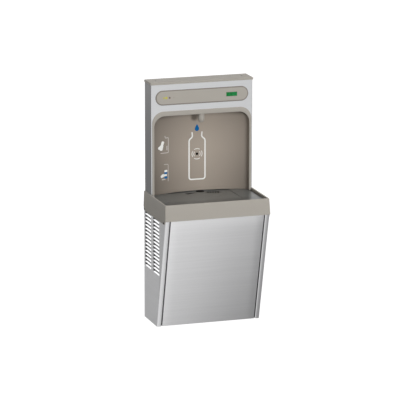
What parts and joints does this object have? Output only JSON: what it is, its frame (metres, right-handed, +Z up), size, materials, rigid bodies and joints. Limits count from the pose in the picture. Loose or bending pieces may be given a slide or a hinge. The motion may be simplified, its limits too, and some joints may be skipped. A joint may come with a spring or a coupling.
{
  "type": "bottle filling station",
  "caption": "Wall-hung refrigerated bottle filler: stainless alcove with sensor and nozzle above a shallow drip basin on a tapered louvered cabinet.",
  "frame": {"origin": "on the wall plane, on the centre line, level with the cabinet's underside", "axes": "+X to the right as the user faces it, +Y into the wall, +Z up; the front faces -Y"},
  "size_m": [0.4694, 0.3113, 1.044],
  "materials": {
    "steel": "satin stainless, grain across the front",
    "hardware": "plain",
    "strainer_steel": "satin",
    "galvanised": "zinc coated sheet",
    "grey_moulding": "fine grained, satin",
    "bowl_moulding": "fine grained",
    "display": "lit green panel behind a clear cover",
    "board": "circuit board",
    "lamp": "tinted lenses",
    "dark_plastic": "satin",
    "white_plastic": "satin",
    "blue_plastic": "satin",
    "black_paint": "gloss black enamel",
    "rubber": "matt",
    "fin_aluminium": "mill finish",
    "copper": "drawn copper tube",
    "brass": "machined",
    "insulation": "foam jacket",
    "control_plastic": "satin"
  },
  "bodies": {
    "station": {"filler_back": "galvanised", "filler_wrapper": "steel", "top_cover": "grey_moulding", "cover_screws": "hardware", "visor_panel": "grey_moulding", "display_window": "display", "display_board": "board", "indicator_lenses": "lamp", "alcove_liner": "grey_moulding", "nozzle": "grey_moulding", "nozzle_nut": "white_plastic", "flow_straightener": "white_plastic", "sensor_window": "dark_plastic", "sensor_housing": "dark_plastic", "valve_body": "brass", "valve_coil": "dark_plastic", "outlet_tube": "white_plastic", "riser_tube": "white_plastic", "control_box": "dark_plastic", "basin_apron": "grey_moulding", "basin_bowl": "bowl_moulding", "drain_strainer": "strainer_steel", "drain_gasket": "rubber", "drain_nut": "white_plastic", "waste_tailpiece": "white_plastic", "hole_plug": "dark_plastic", "left_side_panel": "steel", "right_side_panel": "steel", "panel_screws": "hardware", "base_plate": "galvanised", "cabinet_back": "galvanised", "hanger_rail": "galvanised", "wall_hanger": "hardware", "front_rail": "galvanised", "compressor": "black_paint", "compressor_grommets": "rubber", "compressor_bolts": "hardware", "terminal_cover": "dark_plastic", "condenser_fins": "fin_aluminium", "condenser_coil": "copper", "fan_bracket": "galvanised", "fan_motor": "black_paint", "discharge_line": "copper", "filter_drier": "copper", "capillary_tube": "copper", "suction_line": "copper", "cold_tank": "insulation", "tank_bracket": "galvanised", "cold_control": "control_plastic", "filter_bracket": "galvanised", "filter_head": "blue_plastic", "inlet_tube": "white_plastic", "feed_tube": "white_plastic", "cord_grommet": "dark_plastic"},
    "fan": {"fan_blade": "fin_aluminium", "fan_shaft": "hardware"},
    "access_panel": {"front_panel": "steel"},
    "cartridge": {"filter_cartridge": "white_plastic"},
    "control_spindle": {"control_shaft": "brass"},
    "plunger": {"valve_plunger": "hardware"}
  },
  "joints": [
    {"name": "access_panel_pull", "type": "slide", "parent": "station", "child": "access_panel", "axis": [0, -1, 0], "range_m": [0, 0.1]},
    {"name": "fan_spin", "type": "hinge", "parent": "station", "child": "fan", "pos_m": [-0.173, -0.116, 0.324], "axis": [1, 0, 0], "continuous": true},
    {"name": "cartridge_twist", "type": "hinge", "parent": "station", "child": "cartridge", "pos_m": [0.15, -0.135, 0.441], "axis": [0, 0, 1], "range_deg": [0, 90]},
    {"name": "cold_control_turn", "type": "hinge", "parent": "station", "child": "control_spindle", "pos_m": [-0.06, -0.27, 0.4475], "axis": [0, -1, 0], "range_deg": [-120, 120]},
    {"name": "plunger_lift", "type": "slide", "parent": "station", "child": "plunger", "axis": [0, 0, 1], "range_m": [0, 0.003], "stiffness_N_per_m": 200, "springref_m": -0.002}
  ]
}
